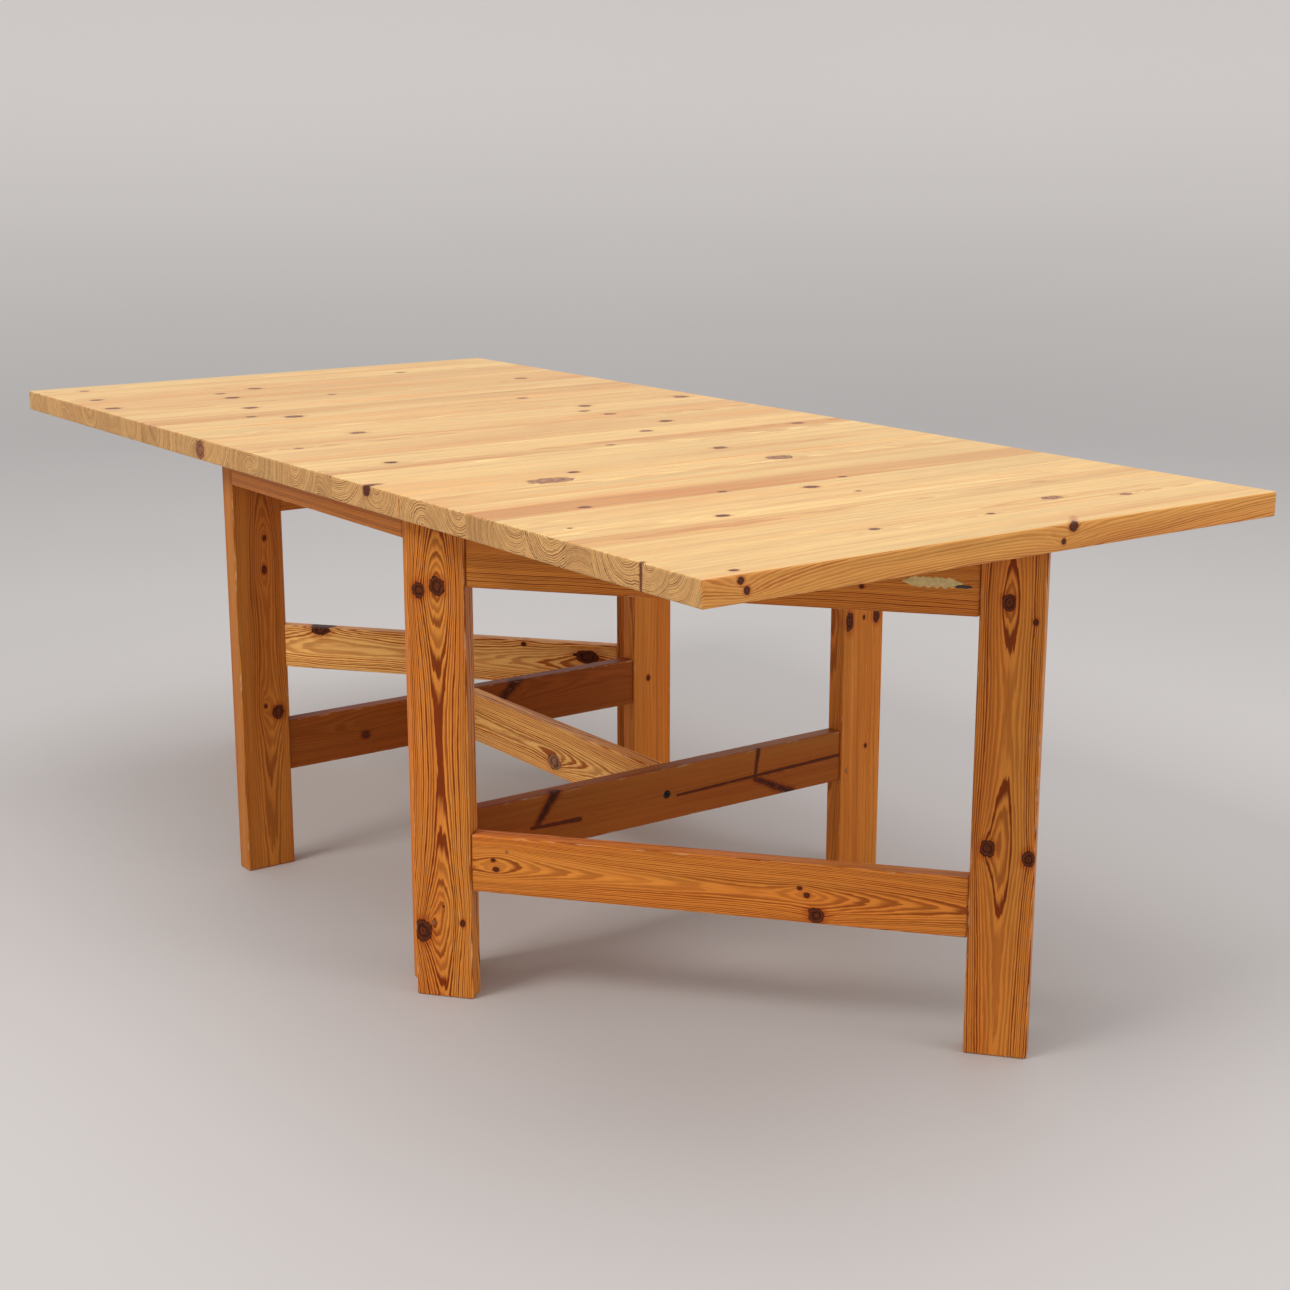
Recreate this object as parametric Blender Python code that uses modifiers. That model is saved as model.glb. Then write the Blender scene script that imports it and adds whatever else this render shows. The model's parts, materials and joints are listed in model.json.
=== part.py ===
"""Gateleg table in solid pine.

A fixed frame carries the middle of the top. Two gates swing out of the frame on butt
hinges and hold up two leaves, which are hinged to the middle of the top.
Metres, +Z up, origin on the floor under the middle of the table. +X runs along the
table towards the near leaf and +Y across it. The far end is the near end given half
a turn about +Z.
"""
import math
from collections import namedtuple

import bmesh
import bpy
from mathutils import Matrix, Vector

# Table top
TABLE_LENGTH = 2.030
TABLE_WIDTH = 0.960
TABLE_HEIGHT = 0.720
CENTRE_LENGTH = 0.710
TOP_THICKNESS = 0.034
SEAM_GAP = 0.0014

# Fixed frame, over the outer faces of its legs
FRAME_LENGTH = 0.610
FRAME_WIDTH = 0.860
LEG_WIDTH = 0.083
LEG_THICKNESS = 0.034
RAIL_HEIGHT = 0.083
RAIL_THICKNESS = 0.027
LOWER_RAIL_BOTTOM = 0.160
UPPER_RAIL_BOTTOM = 0.591
APRON_HEIGHT = 0.043

# Gates
GATE_WIDTH = 0.850
GATE_OPEN_ANGLE = math.radians(50.6)
GATE_TOP_GAP = 0.0005
STOP_SIZE = Vector((0.040, 0.020, 0.012))

# Joinery
FIT = 0.0003
EDGE_RADIUS = 0.0025
SEAM_EDGE_RADIUS = 0.0008
TENON_LENGTH = 0.025
TENON_THICKNESS = 0.012
TENON_SHOULDER = 0.012
APRON_TENON_LENGTH = 0.018
APRON_TENON_SHOULDER = 0.008

# Hinges: the gates turn on butt hinges let into the legs, the leaves on flap hinges
Hinge = namedtuple("Hinge", "height width thickness offset barrel_radius pin_radius")
GATE_HINGE = Hinge(0.060, 0.0220, 0.0012, 0.0005, 0.0026, 0.0010)
LEAF_HINGE = Hinge(0.060, 0.0300, 0.0015, 0.0015, 0.0030, 0.0011)
GATE_HINGE_BOTTOMS = (0.080, 0.500)
LEAF_HINGE_STARTS = (-0.250, 0.190)
GATE_PIN_CLEARANCE = 0.0004
KNUCKLE_CLEARANCE = 0.0004
PIN_HEAD = 0.0010
PIN_HEAD_SPREAD = 0.8

# Fasteners
PLATE_HOLE_RADIUS = 0.0017
PLATE_SINK_RADIUS = 0.0032
PLATE_HOLE_ACROSS = 0.62
PLATE_HOLES_UP = (0.2, 0.8)
TOP_SCREW_RADIUS = 0.0022
TOP_SCREW_HEAD_RADIUS = 0.0042
TOP_SCREW_LENGTH = 0.046
TOP_SCREW_RECESS = 0.012
TOP_SCREW_PLACES = (-0.180, 0.0, 0.180)
BOLT_RADIUS = 0.0030
BOLT_HEAD_RADIUS = 0.0060
BOLT_HEAD_HEIGHT = 0.0040
BOLT_RECESS = 0.0060
BOLT_LENGTH = 0.060
BOLT_SOCKET_RADIUS = 0.0023
NUT_RADIUS = 0.0050
NUT_LENGTH = 0.016
NUT_SETBACK = 0.012

SMALL_SIDES = 8
ROUND_SIDES = 12

# Places worked out from the sizes above
UNDERSIDE = TABLE_HEIGHT - TOP_THICKNESS
FRAME_X = FRAME_LENGTH / 2
FRAME_Y = FRAME_WIDTH / 2
SEAM_X = CENTRE_LENGTH / 2
RAIL_SETBACK = (LEG_THICKNESS - RAIL_THICKNESS) / 2
RAIL_REACH = FRAME_Y - LEG_WIDTH - FIT
LEG_TOP = UNDERSIDE - FIT
BOLT_HEIGHT = LOWER_RAIL_BOTTOM + RAIL_HEIGHT / 2
BOLT_SEAT = FRAME_X - RAIL_SETBACK - BOLT_RECESS
NUT_X = BOLT_SEAT - BOLT_LENGTH + NUT_SETBACK
GATE_EDGE = GATE_HINGE.barrel_radius + GATE_PIN_CLEARANCE
GATE_AXIS = Vector((FRAME_X + GATE_HINGE.offset, -FRAME_Y - GATE_EDGE, 0))
LEAF_AXIS_DROP = FIT + LEAF_HINGE.offset + LEAF_HINGE.thickness
LEAF_AXIS = Vector((SEAM_X, 0, UNDERSIDE - LEAF_AXIS_DROP))
GATE_TURN = math.pi / 2 - GATE_OPEN_ANGLE
HINGE_SIDE = {"near": "left", "far": "right"}
PLAIN_SIDE = {"near": "right", "far": "left"}

Box = namedtuple("Box", "low high")
Rod = namedtuple("Rod", "start end radius end_radius sides")


def rod(start, end, radius, sides=ROUND_SIDES, end_radius=None):
    """A cylinder, or a cone frustum when the end has its own radius."""
    end_radius = radius if end_radius is None else end_radius
    return Rod(Vector(start), Vector(end), radius, end_radius, sides)


def clear_scene():
    for leftover in list(bpy.data.objects):
        bpy.data.objects.remove(leftover, do_unlink=True)


def new_collection(name):
    collection = bpy.data.collections.new(name)
    bpy.context.scene.collection.children.link(collection)
    return collection


def new_material(name, colour, roughness, metallic=0.0):
    material = bpy.data.materials.new(name)
    material.use_nodes = True
    shader = material.node_tree.nodes["Principled BSDF"]
    shader.inputs["Base Color"].default_value = (*colour, 1.0)
    shader.inputs["Roughness"].default_value = roughness
    shader.inputs["Metallic"].default_value = metallic
    return material


def draw(bm, shape):
    """Adds one box or rod to a bmesh."""
    if isinstance(shape, Box):
        low, high = Vector(shape.low), Vector(shape.high)
        size = high - low
        matrix = Matrix.Translation((low + high) / 2) @ Matrix.Diagonal((*size, 1.0))
        bmesh.ops.create_cube(bm, size=1.0, matrix=matrix)
        return
    along = shape.end - shape.start
    turn = Vector((0, 0, 1)).rotation_difference(along).to_matrix().to_4x4()
    bmesh.ops.create_cone(
        bm,
        cap_ends=True,
        segments=shape.sides,
        radius1=shape.radius,
        radius2=shape.end_radius,
        depth=along.length,
        matrix=Matrix.Translation((shape.start + shape.end) / 2) @ turn,
    )


def new_mesh(name, shapes):
    bm = bmesh.new()
    for shape in shapes:
        draw(bm, shape)
    mesh = bpy.data.meshes.new(name)
    bm.to_mesh(mesh)
    bm.free()
    return mesh


def new_object(name, mesh, collection, parent=None, matrix=None, material=None):
    piece = bpy.data.objects.new(name, mesh)
    collection.objects.link(piece)
    piece.parent = parent
    if matrix is not None:
        piece.matrix_local = matrix
    if material is not None and not mesh.materials:
        mesh.materials.append(material)
    return piece


def new_empty(name, collection, parent=None, location=(0, 0, 0), turn=0.0):
    marker = bpy.data.objects.new(name, None)
    marker.empty_display_size = 0.05
    collection.objects.link(marker)
    marker.parent = parent
    marker.location = location
    marker.rotation_euler = (0, 0, turn)
    return marker


def combine(piece, shapes, operation, label):
    """Cuts shapes out of a piece, or joins them to it, in its parent's coordinates."""
    if not shapes:
        return
    tool = new_object(f"{piece.name}_{label}", new_mesh(label, shapes), CUTTERS, piece.parent)
    tool.hide_render = True
    tool.display_type = "WIRE"
    modifier = piece.modifiers.new(label, "BOOLEAN")
    modifier.operation = operation
    modifier.solver = "EXACT"
    modifier.use_self = len(shapes) > 1
    modifier.object = tool


def timber(name, low, high, material, parent=None, tenons=(), cuts=(), seam_side=0):
    """A planed board with eased edges. seam_side is the sign of the x face that meets
    a neighbouring board, whose edges stay nearly sharp, or 2 for both x faces."""
    low, high = Vector(low), Vector(high)
    centre, half = (low + high) / 2, (high - low) / 2
    mesh = new_mesh(name, [Box(-half, half)])
    piece = new_object(name, mesh, PARTS, parent, Matrix.Translation(centre), material)
    weights = mesh.attributes.new("bevel_weight_edge", "FLOAT", "EDGE")
    for edge in mesh.edges:
        ends = [mesh.vertices[i].co.x for i in edge.vertices]
        flat = ends[0] * ends[1] > 0 and abs(ends[0] - ends[1]) < FIT
        at_seam = flat and (seam_side == 2 or ends[0] * seam_side > 0) and seam_side != 0
        weights.data[edge.index].value = SEAM_EDGE_RADIUS / EDGE_RADIUS if at_seam else 1.0
    bevel = piece.modifiers.new("eased edges", "BEVEL")
    bevel.width = EDGE_RADIUS
    bevel.segments = 2
    bevel.limit_method = "WEIGHT"
    combine(piece, tenons, "UNION", "tenons")
    combine(piece, cuts, "DIFFERENCE", "cuts")
    return piece


def baked(piece):
    """The evaluated mesh of a piece, which is then removed with the tools that cut it."""
    bpy.context.view_layer.update()
    depsgraph = bpy.context.evaluated_depsgraph_get()
    mesh = bpy.data.meshes.new_from_object(piece.evaluated_get(depsgraph))
    tools = [m.object for m in piece.modifiers if m.type == "BOOLEAN"]
    for extra in [piece] + tools:
        bpy.data.objects.remove(extra, do_unlink=True)
    return mesh


def turned_mesh(name, profile, steps=ROUND_SIDES):
    """A turned shape about +Z. The (radius, height) profile runs from top to bottom."""
    bm = bmesh.new()
    points = [bm.verts.new((radius, 0, height)) for radius, height in profile]
    for upper, lower in zip(points, points[1:]):
        bm.edges.new((upper, lower))
    mesh = bpy.data.meshes.new(name)
    bm.to_mesh(mesh)
    bm.free()
    blank = new_object(name, mesh, CUTTERS)
    screw = blank.modifiers.new("turn", "SCREW")
    screw.steps = steps
    screw.render_steps = steps
    screw.use_merge_vertices = True
    screw.merge_threshold = 0.00005
    turned = baked(blank)
    turned.shade_smooth()
    turned.set_sharp_from_angle(angle=math.radians(35))
    return turned


# Turned fasteners, as (radius, height) from top to bottom: heads at the foot
TOP_SCREW_PROFILE = [
    (0, TOP_SCREW_LENGTH), (TOP_SCREW_RADIUS, TOP_SCREW_LENGTH - 2 * TOP_SCREW_RADIUS),
    (TOP_SCREW_RADIUS, TOP_SCREW_HEAD_RADIUS - TOP_SCREW_RADIUS), (TOP_SCREW_HEAD_RADIUS, 0), (0, 0),
]
BOLT_PROFILE = [
    (0, BOLT_LENGTH), (BOLT_RADIUS, BOLT_LENGTH), (BOLT_RADIUS, 0),
    (BOLT_HEAD_RADIUS, 0), (BOLT_HEAD_RADIUS, -BOLT_HEAD_HEIGHT), (0, -BOLT_HEAD_HEIGHT),
]
NUT_PROFILE = [
    (0, NUT_LENGTH / 2), (NUT_RADIUS, NUT_LENGTH / 2), (NUT_RADIUS, -NUT_LENGTH / 2), (0, -NUT_LENGTH / 2),
]


# Hinges -----------------------------------------------------------------------------

def knuckles(hinge, outer):
    """Height ranges of a half's barrels: two outer ones, or the one between them."""
    third = hinge.height / 3
    if outer:
        return [(0, third - KNUCKLE_CLEARANCE / 2), (2 * third + KNUCKLE_CLEARANCE / 2, hinge.height)]
    return [(third + KNUCKLE_CLEARANCE / 2, 2 * third - KNUCKLE_CLEARANCE / 2)]


def hinge_half_mesh(name, hinge, outer, side):
    """A hinge plate along +X with its barrels on the Z axis. side is the sign of Y on
    which the plate lies, and the wood that it is screwed to is beyond the plate."""
    near, beyond = side * hinge.offset, side * (hinge.offset + hinge.thickness)
    plate = Box((0, min(near, beyond), 0), (hinge.width, max(near, beyond), hinge.height))
    half = new_object(name, new_mesh(name, [plate]), CUTTERS)
    reach = hinge.barrel_radius + KNUCKLE_CLEARANCE
    notches = []
    for bottom, top in knuckles(hinge, not outer):
        low = (-reach, -reach, bottom - KNUCKLE_CLEARANCE)
        high = (reach, reach, top + KNUCKLE_CLEARANCE)
        notches.append(Box(low, high))
    for up in PLATE_HOLES_UP:
        x, z = PLATE_HOLE_ACROSS * hinge.width, up * hinge.height
        mouth, throat = near - side * FIT, beyond + side * FIT
        notches.append(rod((x, mouth, z), (x, throat, z), PLATE_SINK_RADIUS, ROUND_SIDES, PLATE_HOLE_RADIUS))
    combine(half, notches, "DIFFERENCE", "notches")
    barrels = [rod((0, 0, low), (0, 0, high), hinge.barrel_radius) for low, high in knuckles(hinge, outer)]
    combine(half, barrels, "UNION", "barrels")
    bore = rod((0, 0, -FIT), (0, 0, hinge.height + FIT), hinge.pin_radius + FIT)
    combine(half, [bore], "DIFFERENCE", "bore")
    mesh = baked(half)
    mesh.shade_smooth()
    mesh.set_sharp_from_angle(angle=math.radians(35))
    return mesh


def pin_mesh(name, hinge):
    head = hinge.barrel_radius * PIN_HEAD_SPREAD
    top, bottom = hinge.height + FIT, -FIT
    profile = [
        (0, top + PIN_HEAD), (head, top + PIN_HEAD), (head, top), (hinge.pin_radius, top),
        (hinge.pin_radius, bottom), (head, bottom), (head, bottom - PIN_HEAD), (0, bottom - PIN_HEAD),
    ]
    return turned_mesh(name, profile)


def hinge_meshes(name, hinge):
    """Fixed plate, moving plate and pin of one size of hinge."""
    return (
        hinge_half_mesh(f"{name}_fixed", hinge, True, 1),
        hinge_half_mesh(f"{name}_moving", hinge, False, -1),
        pin_mesh(f"{name}_pin", hinge),
    )


def housing(hinge, side, matrix):
    """The shallow pocket in a leg that a hinge plate is let into."""
    near = side * (hinge.offset - FIT)
    deep = side * (hinge.offset + hinge.thickness + FIT)
    first = matrix @ Vector((0, near, -FIT))
    second = matrix @ Vector((hinge.width + FIT, deep, hinge.height + FIT))
    low = [min(a, b) for a, b in zip(first, second)]
    high = [max(a, b) for a, b in zip(first, second)]
    return Box(low, high)


# Where each half of the hinges sits: the gate's fixed half in the frame of its table
# end, its moving half in the gate's own frame, and the same for the leaf
GATE_FIXED = [
    Matrix.Translation(GATE_AXIS + Vector((0, 0, z))) @ Matrix.Rotation(math.pi / 2, 4, "Z")
    for z in GATE_HINGE_BOTTOMS
]
GATE_MOVING = [Matrix.Translation((0, 0, z)) for z in GATE_HINGE_BOTTOMS]
FLAT_OUTWARD = Matrix(((1, 0, 0, 0), (0, 0, 1, 0), (0, -1, 0, 0), (0, 0, 0, 1)))
FLAT_INWARD = Matrix(((-1, 0, 0, 0), (0, 0, 1, 0), (0, 1, 0, 0), (0, 0, 0, 1)))
LEAF_FIXED = [Matrix.Translation(LEAF_AXIS + Vector((0, y, 0))) @ FLAT_INWARD for y in LEAF_HINGE_STARTS]
LEAF_MOVING = [Matrix.Translation((0, y, 0)) @ FLAT_OUTWARD for y in LEAF_HINGE_STARTS]


# Joinery ----------------------------------------------------------------------------

def tenon_box(low, high, axis, sign, length, shoulder, fit=0.0):
    """The tenon on one end of a rail, or its mortise when fit is a clearance."""
    low, high = Vector(low), Vector(high)
    thin = 1 - axis
    middle = (low[thin] + high[thin]) / 2
    low[thin] = middle - TENON_THICKNESS / 2 - fit
    high[thin] = middle + TENON_THICKNESS / 2 + fit
    low.z += shoulder - fit
    high.z -= shoulder - fit
    root = high[axis] if sign > 0 else low[axis]
    inside = root - sign * EDGE_RADIUS * 2
    tip = root + sign * (length + fit)
    low[axis], high[axis] = min(inside, tip), max(inside, tip)
    return Box(low, high)


def rail(name, low, high, axis, material, parent, length=TENON_LENGTH, shoulder=TENON_SHOULDER, cuts=()):
    tenons = [tenon_box(low, high, axis, sign, length, shoulder) for sign in (-1, 1)]
    return timber(name, low, high, material, parent, tenons, cuts)


def mortise(low, high, axis, sign, length=TENON_LENGTH, shoulder=TENON_SHOULDER):
    return tenon_box(low, high, axis, sign, length, shoulder, FIT)


# Fixed frame, one end at a time -----------------------------------------------------

END_RAIL_LOW = Vector((FRAME_X - LEG_THICKNESS + RAIL_SETBACK, -RAIL_REACH, 0))
END_RAIL_HIGH = Vector((FRAME_X - RAIL_SETBACK, RAIL_REACH, RAIL_HEIGHT))
APRON_REACH = FRAME_X - LEG_THICKNESS - FIT
APRON_LOW = Vector((-APRON_REACH, -FRAME_Y, LEG_TOP - APRON_HEIGHT))
APRON_HIGH = Vector((APRON_REACH, -FRAME_Y + RAIL_THICKNESS, LEG_TOP))


def bolt_holes():
    """Recess and hole for the bolt through the near lower end rail."""
    face = BOLT_SEAT + BOLT_RECESS
    back = face - RAIL_THICKNESS
    recess = rod((face + FIT, 0, BOLT_HEIGHT), (BOLT_SEAT, 0, BOLT_HEIGHT), BOLT_HEAD_RADIUS + 3 * FIT)
    hole = rod((BOLT_SEAT + FIT, 0, BOLT_HEIGHT), (back - FIT, 0, BOLT_HEIGHT), BOLT_RADIUS + FIT)
    return [recess, hole]


def top_screw_heads():
    """Where the screws through the left apron into the middle of the top have their heads."""
    middle = -FRAME_Y + RAIL_THICKNESS / 2
    return [Vector((x, middle, LEG_TOP - APRON_HEIGHT + TOP_SCREW_RECESS + FIT)) for x in TOP_SCREW_PLACES]


def apron_cuts():
    cuts = []
    bottom = LEG_TOP - APRON_HEIGHT
    sink = TOP_SCREW_HEAD_RADIUS - TOP_SCREW_RADIUS
    for x, y, seat in top_screw_heads():
        wide = TOP_SCREW_HEAD_RADIUS + 2 * FIT
        narrow = TOP_SCREW_RADIUS + 2 * FIT
        cuts.append(rod((x, y, bottom - FIT), (x, y, seat), wide, SMALL_SIDES))
        cuts.append(rod((x, y, seat - FIT), (x, y, seat + sink), wide, SMALL_SIDES, narrow))
        cuts.append(rod((x, y, seat + sink - FIT), (x, y, LEG_TOP + FIT), narrow, SMALL_SIDES))
    return cuts


def build_frame_end(end, parent):
    hinge_side, plain_side = HINGE_SIDE[end], PLAIN_SIDE[end]
    inner_x = FRAME_X - LEG_THICKNESS
    mortises = {-1: [], 1: []}
    for label, bottom in (("upper", UPPER_RAIL_BOTTOM), ("lower", LOWER_RAIL_BOTTOM)):
        low, high = END_RAIL_LOW + Vector((0, 0, bottom)), END_RAIL_HIGH + Vector((0, 0, bottom))
        cuts = bolt_holes() if label == "lower" else []
        rail(f"{end}_{label}_end_rail", low, high, 1, PINE, parent, cuts=cuts)
        mortises[-1].append(mortise(low, high, 1, -1))
        mortises[1].append(mortise(low, high, 1, 1))

    size = (APRON_TENON_LENGTH, APRON_TENON_SHOULDER)
    rail(f"{hinge_side}_side_apron", APRON_LOW, APRON_HIGH, 0, PINE, parent, *size, cuts=apron_cuts())
    mortises[-1].append(mortise(APRON_LOW, APRON_HIGH, 0, 1, *size))
    mirrored_low = Vector((APRON_LOW.x, -APRON_HIGH.y, APRON_LOW.z))
    mirrored_high = Vector((APRON_HIGH.x, -APRON_LOW.y, APRON_HIGH.z))
    mortises[1].append(mortise(mirrored_low, mirrored_high, 0, 1, *size))

    mortises[-1].extend(housing(GATE_HINGE, 1, matrix) for matrix in GATE_FIXED)
    hinge_low = (inner_x, -FRAME_Y, 0)
    hinge_high = (FRAME_X, -FRAME_Y + LEG_WIDTH, LEG_TOP)
    timber(f"{end}_{hinge_side}_leg", hinge_low, hinge_high, PINE, parent, cuts=mortises[-1])
    plain_low = (inner_x, FRAME_Y - LEG_WIDTH, 0)
    plain_high = (FRAME_X, FRAME_Y, LEG_TOP)
    timber(f"{end}_{plain_side}_leg", plain_low, plain_high, PINE, parent, cuts=mortises[1])


# Gate -------------------------------------------------------------------------------

def build_gate(end, axis):
    """The gate in its own frame: the hinge axis is Z and the gate runs along +X."""
    back = -GATE_HINGE.offset
    face = back - LEG_THICKNESS
    leg_top = UNDERSIDE - GATE_TOP_GAP
    pivot = (GATE_EDGE, GATE_EDGE + LEG_WIDTH)
    swing = (GATE_EDGE + GATE_WIDTH - LEG_WIDTH, GATE_EDGE + GATE_WIDTH)
    pivot_cuts, swing_cuts = [], []
    for label, bottom in (("upper", UPPER_RAIL_BOTTOM), ("lower", LOWER_RAIL_BOTTOM)):
        low = (pivot[1] + FIT, face + RAIL_SETBACK, bottom)
        high = (swing[0] - FIT, back - RAIL_SETBACK, bottom + RAIL_HEIGHT)
        rail(f"{end}_gate_{label}_rail", low, high, 0, PINE, axis)
        pivot_cuts.append(mortise(low, high, 0, -1))
        swing_cuts.append(mortise(low, high, 0, 1))
    pivot_cuts.extend(housing(GATE_HINGE, -1, matrix) for matrix in GATE_MOVING)
    timber(f"{end}_gate_pivot_leg", (pivot[0], face, 0), (pivot[1], back, leg_top), PINE, axis, cuts=pivot_cuts)
    timber(f"{end}_gate_swing_leg", (swing[0], face, 0), (swing[1], back, leg_top), PINE, axis, cuts=swing_cuts)


# Leaf -------------------------------------------------------------------------------

def gate_stop_matrix():
    """Where the stop block sits under the leaf, against the open gate's outer face."""
    gate = Matrix.Translation(GATE_AXIS) @ Matrix.Rotation(GATE_TURN, 4, "Z")
    across = GATE_HINGE.offset + LEG_THICKNESS + FIT + STOP_SIZE.y / 2
    along = GATE_EDGE + GATE_WIDTH - LEG_WIDTH + STOP_SIZE.x / 2
    height = UNDERSIDE - FIT - STOP_SIZE.z / 2
    return gate @ Matrix.Translation((along, -across, height))


def build_leaf(end, axis):
    """The leaf in its own frame: the hinge axis is Y, through the origin."""
    low = (SEAM_GAP / 2, -TABLE_WIDTH / 2, LEAF_AXIS_DROP)
    high = (TABLE_LENGTH / 2 - SEAM_X, TABLE_WIDTH / 2, LEAF_AXIS_DROP + TOP_THICKNESS)
    timber(f"{end}_leaf", low, high, TOP_PINE, axis, seam_side=-1)
    half = STOP_SIZE / 2
    matrix = Matrix.Translation(-LEAF_AXIS) @ gate_stop_matrix()
    stop = new_object(f"{end}_gate_stop", new_mesh("stop", [Box(-half, half)]), PARTS, axis, matrix, PINE)
    bevel = stop.modifiers.new("eased edges", "BEVEL")
    bevel.width = EDGE_RADIUS / 2
    bevel.segments = 2


# Hinges and fasteners of one end ----------------------------------------------------

def build_hinges(end, table_end, gate_axis, leaf_axis):
    sets = (
        ("gate", GATE_FIXED, GATE_MOVING, gate_axis, GATE_MESHES),
        ("leaf", LEAF_FIXED, LEAF_MOVING, leaf_axis, LEAF_MESHES),
    )
    for kind, fixed_places, moving_places, moving_parent, meshes in sets:
        for number, (fixed, moving) in enumerate(zip(fixed_places, moving_places), 1):
            name = f"{end}_{kind}_hinge_{number}"
            new_object(f"{name}_fixed_plate", meshes[0], PARTS, table_end, fixed, STEEL)
            new_object(f"{name}_moving_plate", meshes[1], PARTS, moving_parent, moving, STEEL)
            new_object(f"{name}_pin", meshes[2], PARTS, table_end, fixed, STEEL)


def build_fasteners(end, parent):
    """The stretcher's bolt and barrel nut, and the screws that hold the top."""
    towards_middle = Matrix.Rotation(-math.pi / 2, 4, "Y")
    bolt_place = Matrix.Translation((BOLT_SEAT + FIT, 0, BOLT_HEIGHT)) @ towards_middle
    bolt = new_object(f"{end}_stretcher_bolt", BOLT, PARTS, parent, bolt_place, DARK_STEEL)
    outer, inner = ((BOLT_SEAT + x, 0, BOLT_HEIGHT) for x in (BOLT_RECESS, BOLT_HEAD_HEIGHT / 2))
    combine(bolt, [rod(outer, inner, BOLT_SOCKET_RADIUS, 6)], "DIFFERENCE", "socket")
    nut_place = Matrix.Translation((NUT_X, 0, BOLT_HEIGHT)) @ Matrix.Rotation(math.pi / 2, 4, "X")
    nut = new_object(f"{end}_barrel_nut", NUT, PARTS, parent, nut_place, STEEL)
    left, right = ((NUT_X + side * 3 * NUT_RADIUS, 0, BOLT_HEIGHT) for side in (-1, 1))
    combine(nut, [rod(left, right, BOLT_RADIUS + FIT)], "DIFFERENCE", "thread")
    for number, head in enumerate(top_screw_heads(), 1):
        place = Matrix.Translation(head)
        new_object(f"{end}_top_screw_{number}", TOP_SCREW, PARTS, parent, place, STEEL)


# Middle of the top and stretcher ----------------------------------------------------

def build_top_centre():
    low = (-SEAM_X + SEAM_GAP / 2, -TABLE_WIDTH / 2, UNDERSIDE)
    high = (SEAM_X - SEAM_GAP / 2, TABLE_WIDTH / 2, TABLE_HEIGHT)
    holes = []
    for turn in (Matrix.Identity(4), HALF_TURN):
        for head in top_screw_heads():
            mouth = turn @ Vector((head.x, head.y, UNDERSIDE - FIT))
            tip = turn @ Vector((head.x, head.y, head.z + TOP_SCREW_LENGTH + 2 * FIT))
            holes.append(rod(mouth, tip, TOP_SCREW_RADIUS + 1.5 * FIT, SMALL_SIDES))
    timber("top_centre", low, high, TOP_PINE, cuts=holes, seam_side=2)


def build_stretcher():
    """The stretcher between the lower end rails, drilled for a bolt and nut at each end."""
    reach = BOLT_SEAT + BOLT_RECESS - RAIL_THICKNESS - FIT
    half = RAIL_THICKNESS / 2
    holes = []
    for turn in (Matrix.Identity(4), HALF_TURN):
        mouth, tip = (turn @ Vector((x, 0, BOLT_HEIGHT)) for x in (reach + FIT, BOLT_SEAT - BOLT_LENGTH - 2 * FIT))
        holes.append(rod(mouth, tip, BOLT_RADIUS + FIT))
        low, high = (turn @ Vector((NUT_X, y, BOLT_HEIGHT)) for y in (-half - FIT, NUT_LENGTH / 2 + FIT))
        holes.append(rod(low, high, NUT_RADIUS + FIT))
    low = (-reach, -half, LOWER_RAIL_BOTTOM)
    high = (reach, half, LOWER_RAIL_BOTTOM + RAIL_HEIGHT)
    timber("centre_stretcher", low, high, PINE, cuts=holes)


clear_scene()
PARTS = new_collection("gateleg_table")
CUTTERS = new_collection("cutters")
PINE = new_material("lacquered_pine", (0.53, 0.25, 0.07), 0.42)
TOP_PINE = new_material("lacquered_pine_top", (0.72, 0.42, 0.17), 0.40)
STEEL = new_material("zinc_plated_steel", (0.55, 0.55, 0.54), 0.38, 1.0)
DARK_STEEL = new_material("black_steel", (0.03, 0.03, 0.03), 0.45, 1.0)
HALF_TURN = Matrix.Rotation(math.pi, 4, "Z")

GATE_MESHES = hinge_meshes("gate_hinge", GATE_HINGE)
LEAF_MESHES = hinge_meshes("leaf_hinge", LEAF_HINGE)
TOP_SCREW = turned_mesh("top_screw", TOP_SCREW_PROFILE, SMALL_SIDES)
BOLT = turned_mesh("bolt", BOLT_PROFILE)
NUT = turned_mesh("nut", NUT_PROFILE)

build_top_centre()
build_stretcher()
for end_name, end_turn in (("near", 0.0), ("far", math.pi)):
    end_marker = new_empty(f"{end_name}_end", PARTS, turn=end_turn)
    gate_marker = new_empty(f"{end_name}_gate_axis", PARTS, end_marker, GATE_AXIS, GATE_TURN)
    leaf_marker = new_empty(f"{end_name}_leaf_axis", PARTS, end_marker, LEAF_AXIS)
    build_frame_end(end_name, end_marker)
    build_gate(end_name, gate_marker)
    build_leaf(end_name, leaf_marker)
    build_hinges(end_name, end_marker, gate_marker, leaf_marker)
    build_fasteners(end_name, end_marker)
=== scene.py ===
"""The looks of a pine gateleg table: lacquered knotty pine, steel hinges and a studio.

The grain is a solid pattern. Every board carries growth rings round its own pith, which
bend round its knots, so faces, edges and end grain belong to the same piece of wood.
Lengths are metres in the row frame. Colours are linear RGB.
"""
import json
import math
from collections import namedtuple

import bmesh
import bpy
from mathutils import Matrix, Vector


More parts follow.
